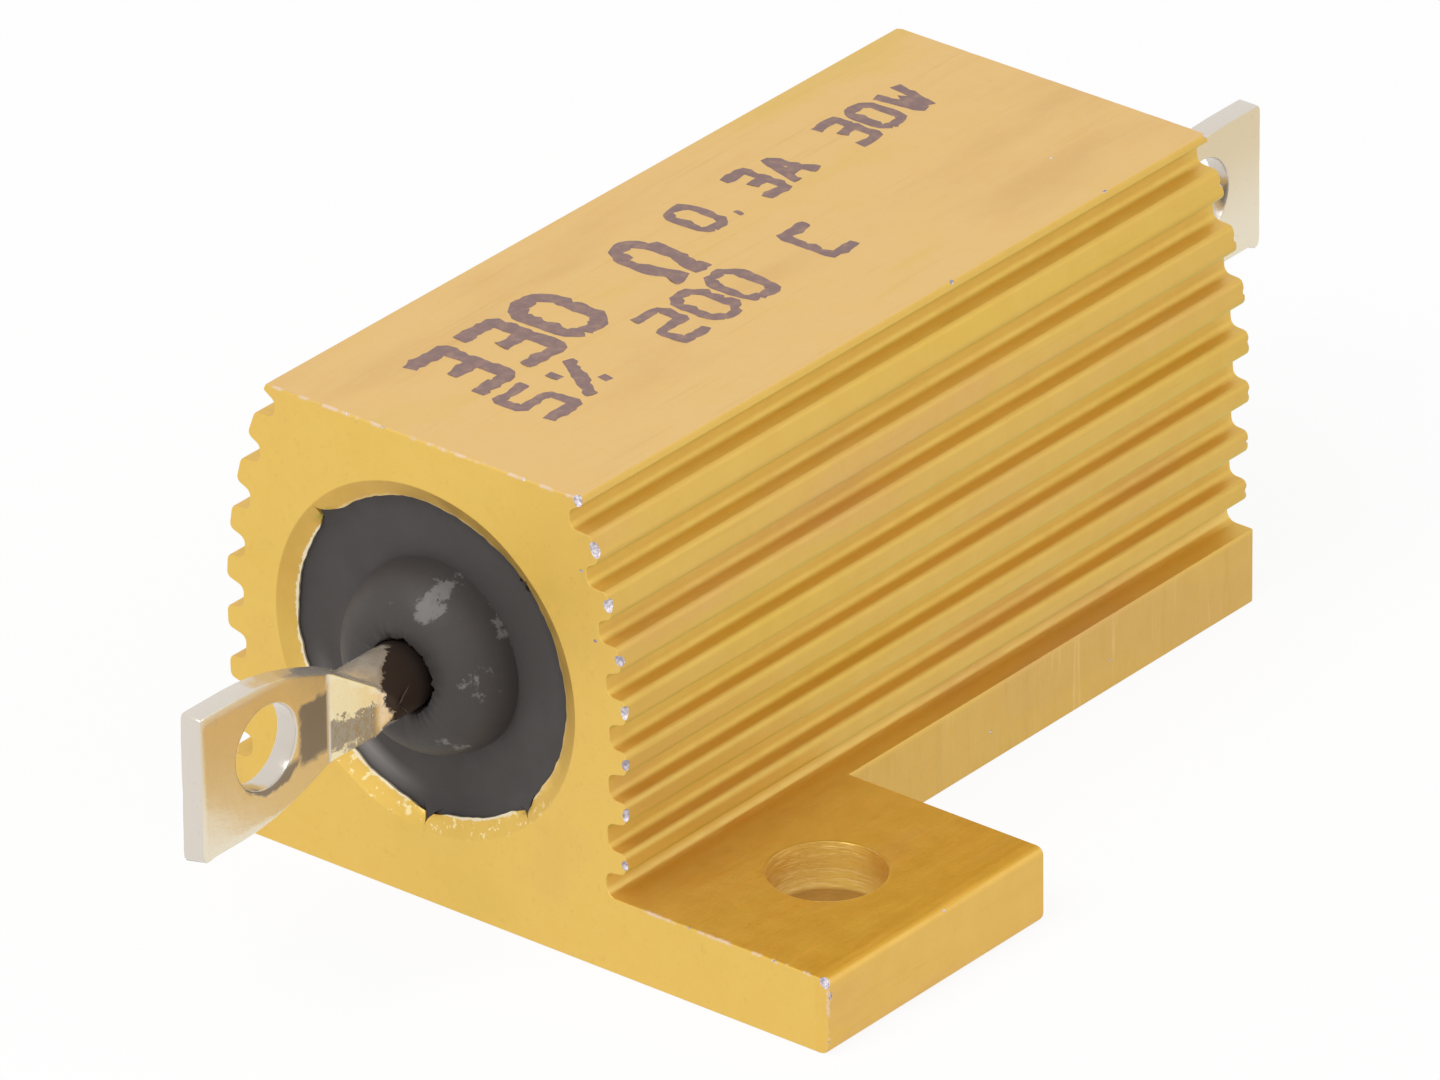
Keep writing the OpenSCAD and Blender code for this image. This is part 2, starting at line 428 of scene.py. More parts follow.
def gold_anodising():
    """Satin gold anodising: drawn grain on the flanks, saw marks on the cut sides, a torn bare lip."""
    f = Finish("gold_anodising")
    x, y, z = f.axis(f.where)
    nx, ny, nz = f.facing()
    across = f.size(y)
    depth = f.minus(-FRONT, f.size(x))
    level = f.step(nz, 0.7, 0.95)
    on_top = f.both(level, f.step(z, BODY_H - 0.5, BODY_H - 0.1))
    on_tab = f.both(level, f.step(z, TAB_T + 0.5, TAB_T + 0.1))
    on_end = f.step(f.size(nx), 0.6, 0.9)
    upright = f.step(f.size(ny), 0.3, 0.6)
    on_flank = f.both(upright, f.step(z, TAB_T, TAB_T + 0.2))

    f.colour = f.mix(on_end, rgb(226, 186, 96), rgb(231, 193, 98))
    # Painted shade: the flanks darker than the ends. Painted light: paler, greener gold in the grooves and on
    # the fins' down-facing undersides, lifting the shade there.
    f.tint(rgb(217, 181, 93), on_flank)
    in_groove = f.step(sunk_in_groove(f, across, z), 0.1, 0.45)
    f.tint(rgb(225, 190, 98), on_flank, in_groove)
    f.tint(rgb(208, 196, 104), on_flank, f.step(nz, -0.1, -0.5))
    f.tint(rgb(232, 202, 118), on_flank, f.step(z, GROOVE_Z0 + 0.6, GROOVE_Z0))
    f.tint(rgb(228, 190, 122), on_top)
    # Painted reflection: the tab's top gets a darker, more orange gold, lighter next to the body, in place of
    # the flank reflected in it.
    beside = f.step(across, SPAN / 2, BASE_W / 2)
    f.tint(f.mix(beside, rgb(212, 166, 58), rgb(226, 188, 92)), on_tab)

    cloud, amount = f.noise(2.6, detail=4, stretch=(4, 1, 1)), f.step(on_end, 0, 1, 0.5, 0.18)
    f.tint(rgb(214, 170, 108), amount, f.step(cloud, 0.52, 0.72))
    f.tint(rgb(218, 184, 78), amount, f.step(cloud, 0.48, 0.28))
    grain = f.noise(0.24, detail=3, roughness=0.7, stretch=(22, 1, 1))
    f.tint(rgb(196, 152, 70), f.step(grain, 0.55, 0.8, 0, 0.22))
    streak = f.noise(0.5, detail=4, roughness=0.75, stretch=(5, 1, 1))
    f.tint(rgb(228, 176, 76), on_tab, f.step(streak, 0.5, 0.75, 0, 0.5))
    fleck = f.noise(0.14, detail=2, roughness=0.8)
    f.tint(rgb(190, 146, 66), f.step(fleck, 0.64, 0.8, 0, 0.25))
    f.tint(rgb(240, 206, 130), f.step(fleck, 0.34, 0.22, 0, 0.25))

    saw_side = f.both(f.step(f.size(ny), 0.8, 0.95), f.step(across, BASE_W / 2 + 0.2, BASE_W / 2 + 0.1),
                      f.step(z, TAB_T, TAB_T - 0.2))
    saw = f.noise(0.5, detail=4, roughness=0.75, stretch=(1, 1, 14), distortion=0.3)
    f.tint(rgb(204, 166, 84), saw_side, 0.6)
    f.tint(rgb(186, 142, 66), saw_side, f.step(saw, 0.5, 0.8, 0, 0.35))
    f.tint(rgb(236, 200, 132), saw_side, f.step(saw, 0.42, 0.3, 0, 0.4))

    in_hole = f.step(hole_distance(f, x, y), HOLE_D / 2 + 0.06, HOLE_D / 2 + 0.02)
    tool_mark = f.noise(0.1, detail=3, roughness=0.7, stretch=(9, 9, 1))
    f.tint(rgb(246, 214, 140), in_hole, f.step(tool_mark, 0.5, 0.7, 0, 0.7))
    # Painted shade on the lower part of each hole's wall.
    f.tint(rgb(166, 112, 40), in_hole, f.step(z, 0.95, 0.8, 0, 0.75))

    radius = f.length(y, f.minus(z, BORE_Z))
    ragged = f.noise(0.22, detail=3, roughness=0.7)
    lip_outer = f.step(ragged, 0.3, 0.7, LIP_R, LIP_R + 0.09, "LINEAR")
    lip_inner = f.step(ragged, 0.3, 0.7, LIP_R - 0.03, LIP_R + 0.05, "LINEAR")
    lip = f.both(f.step(depth, 0.9, 0.7), f.step(radius, lip_outer, lip_inner))
    tab_way = f.both(y, f.math("SIGN", x))
    height = f.minus(z, BORE_Z)
    on_cone = f.both(f.step(depth, 0.36, 0.3), f.step(radius, BORE_R + 0.04, BORE_R - 0.02), on_end)
    low_side = f.step(f.minus(f.both(height, -1), tab_way), -3.5, 3.5)
    # Painted shade: the coined cone is darker towards its top. Painted glints: bright specks on its lower
    # part.
    f.tint(rgb(208, 166, 82), on_cone, f.step(height, -3, 2, 0.1, 0.7))
    crumb = f.noise(0.3, detail=3, roughness=0.7)
    f.tint(rgb(250, 232, 176), on_cone, f.step(height, -2, -4), f.step(crumb, 0.56, 0.62, 0, 0.8))
    # The torn lip is bare metal, painted brighter on its lower, tab side as a highlight.
    f.tint(rgb(236, 222, 190), lip, f.step(low_side, 0.2, 0.7, 0.25, 1))

    off_body = f.step(across, BASE_W / 2 + 0.2, BASE_W / 2, 0, 1)
    near_line = f.math(
        "MINIMUM",
        f.math("MINIMUM", f.length(depth, f.minus(z, BODY_H)),
               f.length(depth, f.minus(z, TAB_T), off_body)),
        f.length(depth, f.minus(across, SPAN / 2)),
    )
    rubbed = f.noise(0.5, detail=3, roughness=0.7)
    f.tint(rgb(232, 208, 188), f.step(near_line, 0.1, 0.04), f.step(rubbed, 0.48, 0.6, 0, 0.75))

    f.raise_by(grain, 0.005)
    f.raise_by(f.both(saw_side, saw), 0.05)
    f.raise_by(f.both(on_tab, streak), 0.02)
    f.raise_by(f.noise(0.12, detail=3, roughness=0.6), 0.004)
    f.raise_by(f.noise(2.5, detail=2), 0.02)
    f.raise_by(f.both(in_hole, tool_mark), 0.03)
    dull = f.math("MAXIMUM", on_flank, f.step(across, SPAN / 2 - 0.5, SPAN / 2 - 0.4))
    roughness = f.plus(f.step(f.noise(0.8, detail=4, roughness=0.6), 0.3, 0.7, 0.42, 0.52),
                       f.both(dull, 0.13))
    return f.done(roughness, Metallic=0.78)


def bare_aluminium():
    """Crushed bare metal where the anodising is knocked off."""
    f = Finish("bare_aluminium")
    crushed = f.noise(0.09, detail=3, roughness=0.7)
    f.colour = f.mix(f.step(crushed, 0.35, 0.65), rgb(172, 160, 172), rgb(236, 230, 234))
    f.raise_by(crushed, 0.04)
    return f.done(0.45, Metallic=0.45)


def black_moulding():
    """Filled black moulding compound, dusty on its boss, with painted shade on the boss and in its crater, a
    painted highlight on the boss's rim and a painted reflection near the lip.
    """
    f = Finish("black_moulding")
    _, y, z = f.axis(f.where)
    radius = f.length(y, f.minus(z, BORE_Z))
    speck = f.noise(0.06, detail=2, roughness=0.8)
    f.colour = f.mix(f.step(speck, 0.66, 0.8, 0, 0.3), rgb(66, 62, 61), rgb(96, 93, 92))
    # Painted shade: the boss darker than the flat face round it.
    on_boss = f.step(radius, BOSS_R + 0.1, BOSS_R - 0.1)
    f.tint(rgb(63, 59, 57), on_boss, 0.85)
    # Real dust patches on the boss and a painted highlight along one side of the boss's rim share one
    # attribute.
    crisp = f.noise(0.5, detail=6, roughness=0.75)
    edge = f.minus(1.05, f.attribute("dust"))
    patch = f.step(f.minus(crisp, edge), -0.06, 0.05)
    f.tint(rgb(116, 114, 112), patch, 0.85)
    # Painted reflection: a lighter band on the resin by the lip's lower side.
    f.tint(rgb(136, 132, 129), f.attribute("painted_reflection"))
    # Painted shade inside the crater round the shank.
    f.tint(rgb(42, 36, 31), f.attribute("crater_painted_shade"))
    f.raise_by(f.noise(0.05, detail=2), 0.003)
    f.raise_by(f.noise(0.7, detail=4, roughness=0.6), 0.02)
    roughness = f.step(f.noise(1.2, detail=3), 0.3, 0.7, 0.55, 0.68)
    return f.done(roughness, Specular_IOR_Level=0.4)


def tinned_metal():
    """Hot-tinned terminal: smooth coat on the flats with a painted warm reflection, grey edges, flux at the
    neck, and painted dark reflections and shade at the neck, under the eye and round the shank.
    """
    f = Finish("tinned_metal")
    x, y, z = f.axis(f.where)
    ny = f.facing()[1]
    out = f.size(x)
    seen = f.both(y, f.math("SIGN", x))
    on_flat = f.step(f.size(ny), 0.75, 0.92)
    on_lug = f.step(out, NECK_X + 0.02, NECK_X + 0.12)
    # Painted reflection: the flats turn warmer higher up, where the gold end face would show in them.
    warm = f.mix(f.step(z, BORE_Z - 1.6, BORE_Z + 2.0), rgb(232, 222, 199), rgb(220, 202, 166))
    f.colour = f.mix(f.both(on_flat, on_lug), rgb(216, 208, 197), warm)
    on_shank = f.step(out, NECK_X - 0.1, NECK_X - 0.7)
    cloud = f.noise(0.8, detail=4, roughness=0.6)
    f.tint(f.mix(f.step(cloud, 0.35, 0.65), rgb(216, 202, 184), rgb(240, 230, 214)), on_shank)
    f.tint(rgb(170, 160, 152), f.step(f.noise(0.3, detail=4, roughness=0.7), 0.62, 0.75, 0, 0.35))

    # Painted dark reflection of the black moulding on the lug by the neck, and painted shade under the eye.
    torn = f.both(f.minus(f.noise(0.35, detail=4, roughness=0.7), 0.5), 1.1)
    facing = f.step(f.both(ny, f.math("SIGN", x)), 0.5, 0.8)
    high = f.plus(z, f.both(torn, 0.5))
    along = f.plus(out, f.both(torn, 0.3))
    painted_dark_reflection = f.both(facing, on_lug, f.step(along, NECK_X + 1.3, NECK_X + 1.1), f.step(high, 6.55, 6.85),
                  f.step(high, 8.55, 8.4))
    eye = f.length(f.minus(out, EYE_X), f.minus(z, EYE_Z))
    near_eye = f.step(f.plus(eye, f.both(torn, 0.3)), 1.5, 1.4)
    under = f.both(facing, near_eye, f.step(z, EYE_Z - 0.75, EYE_Z - 1.0))
    painted_dark_reflection = f.math("MAXIMUM", painted_dark_reflection, under)
    f.tint(rgb(112, 98, 88), painted_dark_reflection, 0.8)
    facet = f.both(facing, f.step(out, NECK_X, NECK_X - 0.06), f.step(out, NECK_X - 1.6, NECK_X - 1.3))
    flux = f.both(facet, f.step(f.plus(high, torn), 7.6, 7.4), f.step(f.plus(high, torn), 6.4, 6.7))
    # Painted highlight on the pinched facet by the neck.
    f.tint(rgb(240, 228, 188), facet)
    f.tint(rgb(132, 120, 112), flux, 0.8)

    # Painted shade and dark reflection where the shank goes into the crater, reaching further on the seen
    # side.
    darkest = f.plus(f.both(seen, 0.94), f.both(f.minus(z, BORE_Z), 0.25))
    reach = f.step(darkest, 0.1, 0.9, 0.25, 1.5)
    beyond = f.minus(f.plus(out, torn), BOSS_H - FRONT)
    shank_painted_shade = f.step(f.minus(beyond, reach), 0.08, -0.08)
    f.tint(rgb(62, 50, 44), shank_painted_shade)

    f.raise_by(f.noise(0.14, detail=3, roughness=0.7), 0.004)
    f.raise_by(f.noise(0.9, detail=1), 0.01)
    f.raise_by(f.both(flux, f.noise(0.2, detail=3)), 0.02)
    roughness = f.step(f.math("MAXIMUM", shank_painted_shade, painted_dark_reflection), 0, 1, 0.2, 0.5, "LINEAR")
    return f.done(roughness, Metallic=0.7)


def stamping_ink():
    """Thin mauve-grey marking ink that lets some gold through."""
    f = Finish("stamping_ink")
    body = f.noise(0.35, detail=4, roughness=0.7)
    f.colour = f.mix(f.step(body, 0.4, 0.75), rgb(128, 102, 98), rgb(152, 122, 108))
    f.raise_by(f.noise(0.1, detail=2), 0.01)
    return f.done(0.6, Metallic=0.15)


def steatite():
    f = Finish("steatite")
    f.colour = f.mix(f.noise(0.6, detail=3), rgb(238, 232, 218), rgb(222, 214, 196))
    f.raise_by(f.noise(0.1, detail=2), 0.01)
    return f.done(0.55)


def pressed_steel():
    f = Finish("pressed_steel")
    drawn = f.noise(0.15, detail=3, stretch=(10, 1, 1))
    f.colour = f.mix(drawn, rgb(176, 174, 168), rgb(206, 204, 198))
    f.raise_by(drawn, 0.01)
    return f.done(0.32, Metallic=1.0)


def resistance_alloy():
    f = Finish("resistance_alloy")
    f.colour = f.mix(f.noise(0.5, detail=3), rgb(176, 158, 132), rgb(150, 130, 104))
    f.raise_by(f.noise(0.05, detail=2), 0.005)
    return f.done(0.35, Metallic=1.0)


# ---- Housing

def waist():
    return BODY_H / 2


def tip_y(z):
    """Half width over the fin tips at height z."""
    if z < waist():
        return FIN_W / 2 - (waist() - z) * DRAFT
    return FIN_W / 2 - FLANK_R + math.sqrt(FLANK_R ** 2 - (z - waist()) ** 2)


def groove_corners(index):
    """Corners (y, z, radius) of one groove, from its lower lip to its upper lip."""
    up = index / (GROOVES - 1)
    z = GROOVE_Z0 + index * GROOVE_PITCH
    floor = tip_y(z) - GROOVE_DEPTH + 0.14 * up
    below = z - 0.32 * GROOVE_PITCH
    lip = z + 0.42 - 0.14 * up
    lip_r = 0.06 if index == GROOVES - 1 else TIP_R
    return [
        (tip_y(below), below, TIP_R),
        (floor + 0.04, below + 0.03, ROOT_R),
        (floor, z + 0.3 - 0.28 * up, ROOT_R),
        (tip_y(lip), lip, lip_r),
    ]


def section():
    """Closed (y, z) outline of the extrusion, with both flanges."""
    first = groove_corners(0)
    flank = [(SPAN / 2, 0, 0.3), (SPAN / 2, TAB_T, 0.24), (first[1][0] - 0.04, TAB_T, 0.3)] + first[2:]
    for index in range(1, GROOVES):
        flank += groove_corners(index)
    flank.append((tip_y(BODY_H), BODY_H, 0.12))
    return rounded(flank + [(-y, z, r) for y, z, r in reversed(flank)])


def rounded(corners, steps=4):
    """Rounds each corner (y, z, radius) of a closed outline with an arc."""
    outline = []
    for index, (y, z, radius) in enumerate(corners):
        corner = Vector((y, z))
        before = (Vector(corners[index - 1][:2]) - corner).normalized()
        after = (Vector(corners[(index + 1) % len(corners)][:2]) - corner).normalized()
        half = math.acos(before.dot(after)) / 2
        centre = corner + (before + after).normalized() * radius / math.sin(half)
        start = corner + before * radius / math.tan(half) - centre
        stop = corner + after * radius / math.tan(half) - centre
        turn = (math.pi - 2 * half) * (1 if start.cross(stop) > 0 else -1)
        for step in range(steps + 1):
            outline.append(centre + Matrix.Rotation(turn * step / steps, 2) @ start)
    return outline


def box(name, low, high):
    """A closed box between two corners."""
    outline = [(low[1], low[2]), (high[1], low[2]), (high[1], high[2]), (low[1], high[2])]
    return prism(name, outline, low[0], high[0])


def drill(name, x, y, diameter, steps=64):
    """A closed upright cylinder through the tabs."""
    turns = [2 * math.pi * k / steps for k in range(steps)]
    ring = [(x + diameter / 2 * math.cos(turn), y + diameter / 2 * math.sin(turn)) for turn in turns]
    return bridged(name, *([(px, py, z) for px, py in ring] for z in (-1, TAB_T + 1)))


def cut(obj, *tools):
    """Takes the tools out of obj, and drops them."""
    for tool in tools:
        modifier = obj.modifiers.new(tool.name, "BOOLEAN")
        modifier.operation = "DIFFERENCE"
        modifier.solver = "EXACT"
        modifier.object = tool
    applied(obj)
    drop(*tools)
    return obj


def housing_blank():
    """The sawn and drilled extrusion, with every edge just broken."""
    blank = prism("housing_blank", section(), FRONT, -FRONT)
    side, end = SPAN / 2 + 1, -FRONT + 1
    behind = FRONT + TAB_L
    cut(
        blank,
        box("front_side", (behind, -side, -1), (end, -BASE_W / 2, TAB_T + 1)),
        box("rear_side", (-end, BASE_W / 2, -1), (-behind, side, TAB_T + 1)),
        drill("front_hole", -HOLE_DX / 2, -HOLE_DY / 2, HOLE_D),
        drill("rear_hole", HOLE_DX / 2, HOLE_DY / 2, HOLE_D),
    )
    return soften(blank, 0.05, 2, 40)


def cone_depth(radius):
    """How deep the coined cone lies at a radius of the bore."""
    return (BORE_R - radius) / (BORE_R - LIP_R) * LIP_DEPTH


def rim_outline():
    """(x, r) outline of what the bore takes out, with both rims coined to a cone."""
    radii = [BORE_R + (LIP_R - BORE_R) * k / 6 for k in range(7)]
    front = [(FRONT - 1, 0), (FRONT - 1, BORE_R)] + [(FRONT + cone_depth(r), r) for r in radii]
    front += [(FRONT + LIP_DEPTH + 0.05, LIP_R), (FRONT + LIP_ROOT, BORE_R)]
    return front + [(-x, r) for x, r in reversed(front)]


def ragged_rim(x, r, angle):
    """Makes the coined cone and its lip a little uneven round the bore."""
    place = (x, 5 * math.cos(angle), 5 * math.sin(angle))
    on_lip = max(0, 1 - abs(r - LIP_R) / 0.2) if -FRONT - abs(x) < 0.4 else 0
    seen = nose_angle(x, math.cos(angle), BORE_Z + math.sin(angle))
    uneven = 0.04 * ripple(place, 0.9) + 0.035 * ripple(place, 0.3, 4)
    uneven += 0.13 * max(width * lobe(seen, notch, 9) for notch, width, _ in NOTCHES) - 0.03
    outer = 0.03 * ripple(place, 2.2, 6) if r > BORE_R - 0.01 and abs(x) > -FRONT - 0.1 else 0
    return x + on_lip * 0.03 * ripple(place, 0.6, 2), r + on_lip * uneven + outer


def split(name, front, margin=0.0):
    """Wedge along Z from the lip outwards, with rounded shoulders; front() gives its depth at a radius."""
    radii = [LIP_R - 0.2 + (BORE_R - LIP_R + 0.2 - margin) * k / 8 for k in range(9)]
    widths = [max(0, NOTCH_HALF_W * (1 - k / 8) ** 2.2 - margin) for k in range(9)]
    outline = list(zip(widths[:-1], radii[:-1])) + [(0, radii[-1])]
    outline += [(-y, r) for y, r in reversed(outline[:-1])]
    back = LIP_ROOT + 0.02 - margin
    return bridged(name, [(front(r), y, r) for y, r in outline], [(back, y, r) for y, r in outline])


def splits_tree(operation):
    """Cuts a wedge out of the mesh, or adds it, at each seat, turned and scaled as the seat says."""
    tree = Tree("splits_" + operation.lower(), Seats="Object", Wedge="Object", Finish="Material")
    given = tree.inputs
    seats = tree.shape("Seats")
    wedge = tree.shape("Wedge")
    turn, scale = tree.stored("turn", "FLOAT_VECTOR"), tree.stored("scale", "FLOAT_VECTOR")
    placed = tree.node("GeometryNodeInstanceOnPoints", Points=seats, Instance=wedge, Rotation=turn,
                       Scale=scale)
    wedges = tree.node("GeometryNodeRealizeInstances", Geometry=placed)
    boolean = tree.node("GeometryNodeMeshBoolean", {"operation": operation, "solver": "EXACT"},
                        Self_Intersection=operation == "UNION")
    second = find_socket(boolean.inputs, "Mesh_2")
    first = find_socket(boolean.inputs, "Mesh_1") if operation == "DIFFERENCE" else second
    tree.fill(first, given["Geometry"])
    tree.fill(second, tree.faced(wedges, "Finish"))
    return tree.finish(boolean.outputs["Mesh"])


def split_seats(name):
    """One point for each split, on the bore's axis at its end face, with its turn and its scale."""
    seats = mesh_object(name, [(x, 0, BORE_Z) for x in (FRONT, -FRONT) for _ in NOTCHES], [])
    turns = [(math.radians(90 - angle), 0, turn) for turn in (0, math.pi) for angle, _, _ in NOTCHES]
    scales = [(1, width, tip / BORE_R) for _ in range(2) for _, width, tip in NOTCHES]
    for key, values in (("turn", turns), ("scale", scales)):
        attribute = seats.data.attributes.new(key, "FLOAT_VECTOR", "POINT")
        attribute.data.foreach_set("vector", np.array(values).ravel())
    return seats


def chipped_rims_tree():
    """Knocks small chips out of the mesh along a rim."""
    tree = Tree("chipped_rims", Rim="Object", Spacing="Float", Share="Float", Smallest="Float",
                Largest="Float", Seed="Int", Bare="Material")
    given = tree.inputs
    rim = tree.shape("Rim")
    path = tree.node("GeometryNodeMeshToCurve", Mesh=rim)
    spaced = tree.node("GeometryNodeResampleCurve", {"mode": "LENGTH"}, Curve=path, Length=given["Spacing"])
    points = tree.node("GeometryNodeCurveToPoints", {"mode": "EVALUATED"}, Curve=spaced)
    chosen = tree.node("FunctionNodeRandomValue", {"data_type": "BOOLEAN"}, Probability=given["Share"],
                       Seed=given["Seed"])
    size = tree.node("FunctionNodeRandomValue", {"data_type": "FLOAT"}, Min_001=given["Smallest"],
                     Max_001=given["Largest"], Seed=given["Seed"])
    return knock_out(tree, points.outputs[0], chosen.outputs[3], size.outputs[1])


def knocks_tree():
    """Knocks one stone out of the mesh at each seat, as wide as the seat says."""
    tree = Tree("knocks", Seats="Object", Smallest="Float", Largest="Float", Seed="Int", Bare="Material")
    given = tree.inputs
    seats = tree.shape("Seats")
    wide = tree.stored("wide", "FLOAT")
    share = tree.node("FunctionNodeRandomValue", {"data_type": "FLOAT"}, Min_001=given["Smallest"],
                      Max_001=given["Largest"], Seed=given["Seed"])
    size = tree.node("ShaderNodeMath", {"operation": "MULTIPLY"}, Value=share.outputs[1], Value_001=wide)
    return knock_out(tree, seats, True, size.outputs[0])


def knock_out(tree, points, chosen, size):
    """Ends a tree by cutting a turned stone out of its mesh at each chosen point."""
    given = tree.inputs
    turn = tree.node("FunctionNodeRandomValue", {"data_type": "FLOAT_VECTOR"}, Min=(0, 0, 0),
                     Max=(2 * math.pi,) * 3, Seed=given["Seed"])
    stone = tree.node("GeometryNodeMeshIcoSphere", Radius=1.0, Subdivisions=2)
    lump = tree.node("GeometryNodeTransform", Geometry=stone, Scale=(1.3, 0.7, 1.0))
    placed = tree.node("GeometryNodeInstanceOnPoints", Points=points, Selection=chosen, Instance=lump,
                       Rotation=turn, Scale=size)
    stones = tree.node("GeometryNodeRealizeInstances", Geometry=placed)
    chipped = tree.node("GeometryNodeMeshBoolean", {"operation": "DIFFERENCE", "solver": "EXACT"},
                        Mesh_1=given["Geometry"], Mesh_2=tree.faced(stones, "Bare"))
    return tree.finish(chipped.outputs["Mesh"])


def rim_path(name, corners):
    """A run of edges for chips to follow."""
    return mesh_object(name, corners, [], [(k, k + 1) for k in range(len(corners) - 1)])


def fin_tips():
    """(y, z) of the middle of each fin's tip on the seen flank, from the lowest to the top corner."""
    middles = []
    for index in range(GROOVES - 1):
        z = (groove_corners(index)[-1][1] + groove_corners(index + 1)[0][1]) / 2
        middles.append((-tip_y(z), z))
    return middles + [(-tip_y(BODY_H), BODY_H)]


def knock_seats(name):
    """One point for each knock, with how wide it is."""
    knocks = []
    for index, (y, z) in enumerate(fin_tips()):
        up = index / GROOVES
        knocks.append((FRONT, y, z, 0.34 + 0.2 * up))
        knocks.append((-FRONT, y, z, 0.22 + 0.08 * up))
        knocks.append((-FRONT, -y, z, 0.3 + 0.1 * up))
    knocks += [(FRONT + x, y, z, wide) for x, y, z, wide in KNOCKS]
    seats = mesh_object(name, [knock[:3] for knock in knocks], [])
    store(seats, "wide", [knock[3] * MM for knock in knocks])
    return seats


def housing():
    body = housing_blank()
    gold, bare = gold_anodising(), bare_aluminium()
    body.data.materials.clear()
    body.data.materials.append(gold)
    cut(body, revolved("bore", rim_outline(), 256, ragged_rim))
    seats, wedge = split_seats("split_seats"), split("split", lambda r: -1)
    splits_tree("DIFFERENCE").apply(body, seats=seats, wedge=wedge, finish=gold)
    drop(seats, wedge)

    triangulated(body)
    knocks = knock_seats("knock_seats")
    knocks_tree().apply(body, seats=knocks, smallest=0.36, largest=0.5, seed=5, bare=bare)
    drop(knocks)

    top_y = tip_y(BODY_H)
    rims = [
        rim_path("front_top", [(FRONT, -top_y, BODY_H), (FRONT, top_y, BODY_H)]),
        rim_path("rear_top", [(-FRONT, -top_y, BODY_H), (-FRONT, top_y, BODY_H)]),
        rim_path("tab_edge", [(FRONT, -BASE_W / 2, TAB_T), (FRONT, -SPAN / 2, TAB_T), (FRONT, -SPAN / 2, 0)]),
    ]
    chips = chipped_rims_tree()
    for seed, rim in enumerate(rims):
        chips.apply(body, rim=rim, spacing=0.4 * MM, share=0.12, smallest=0.02 * MM, largest=0.06 * MM,
                    seed=seed, bare=bare)
    drop(*rims)
    edit(body, lambda bm: bmesh.ops.dissolve_limit(
        bm, angle_limit=math.radians(0.5), verts=bm.verts, edges=bm.edges, delimit={"MATERIAL"}))
    body.name = "finned_housing"
    crease(smooth(body, 35))
    evened = body.modifiers.new("even_shading", "WEIGHTED_NORMAL")
    evened.keep_sharp = True
    evened.weight = 100
    return applied(body)


def crease(body):
    """Keeps the coined cone's outer edge and the rims of the knocks crisp."""
    def mark(bm):
        for edge in bm.edges:
            on_rim = [abs(math.hypot(v.co.y, v.co.z - BORE_Z * MM) - BORE_R * MM) < 0.05 * MM
                      and abs(abs(v.co.x) + FRONT * MM) < 0.02 * MM for v in edge.verts]
            if all(on_rim) or len({face.material_index for face in edge.link_faces}) > 1:
                edge.smooth = False
    return edit(body, mark)


def store(obj, name, values):
    attribute = obj.data.attributes.new(name, "FLOAT", "POINT")
    attribute.data.foreach_set("value", np.asarray(values, float))


# Places (in from the front end, y, z) of the other knocks, with how wide they are
KNOCKS = [
    (0, -5.5, 11.91, 0.16),
    (0, -5.95, 9.95, 0.13),
    (0, -SPAN / 2 + 0.12, TAB_T - 0.08, 0.42),
    (0.1, -SPAN / 2, TAB_T - 0.5, 0.2),
    (0, -SPAN / 2, 0.12, 0.2),
    (0, 2.57, BODY_H, 0.1),
    (0, 1.3, BODY_H, 0.14),
    (0, -3.56, BODY_H, 0.12),
    (0, -9.03, TAB_T, 0.13),
    (0, -11.93, TAB_T, 0.13),
    (5.0, -SPAN / 2, TAB_T - 0.02, 0.24),
    (16.0, -5.4, BODY_H, 0.2),
    (22.8, -5.36, BODY_H, 0.16),
    (23.5, -2.96, BODY_H, 0.1),
    (9.7, -6.85, 3.79, 0.12),
    (12.9, -6.75, 9.86, 0.1),
    (14.0, -6.93, 7.71, 0.1),
    (20.8, -BASE_W / 2, 0.9, 0.12),
    (15.5, -BASE_W / 2, 0.95, 0.1),
]


# ---- Moulding

def moulding_outline():
    """Closed (x, r) outline of the moulding: both noses, the bore's wall, and the seat of the element."""
    base, rise = FRONT + RECESS, RECESS + BOSS_H
    crater = FRONT - BOSS_H + CRATER_DEPTH
    nose = [(crater, SHANK_R), (crater, SHANK_R + 0.04), (crater - 0.2, CRATER_R - 0.1),
            (crater - 0.42, CRATER_R - 0.02), (FRONT - BOSS_H + 0.03, CRATER_R)]
    for k in range(17):
        angle = math.pi / 2 * (1 - k / 16)
        nose.append((base - rise * math.sin(angle), BOSS_TOP_R + (BOSS_R - BOSS_TOP_R) * math.cos(angle)))
    flat = [(base, BOSS_R + (FLAT_R - BOSS_R) * k / 10) for k in range(1, 11)]
    drawn = [(base + (FRONT + DRAWN_DEPTH - base) * t ** 1.4, FLAT_R + (DRAWN_R - FLAT_R) * t)
             for t in (0.25, 0.5, 0.75, 1)]
    end = nose + flat + drawn + [(FRONT + LIP_ROOT, BORE_R)]

    low, high = CAP_LOW.x, CAP_HIGH.x
    seat = [(low, SHANK_R), (low, CAP_R), (high, CAP_R), (high, CORE_R + 2 * WIRE_R)]
    far = 2 * ELEMENT_X
    inner = seat + [(far - x, r) for x, r in reversed(seat)]
    return end + [(-x, r) for x, r in reversed(end)] + list(reversed(inner))


def nose_angle(x, y, z):
    """Angle of a point round the bore, anticlockwise from that end's tab side as seen from outside."""
    return math.degrees(math.atan2(z - BORE_Z, y * math.copysign(1, x)))


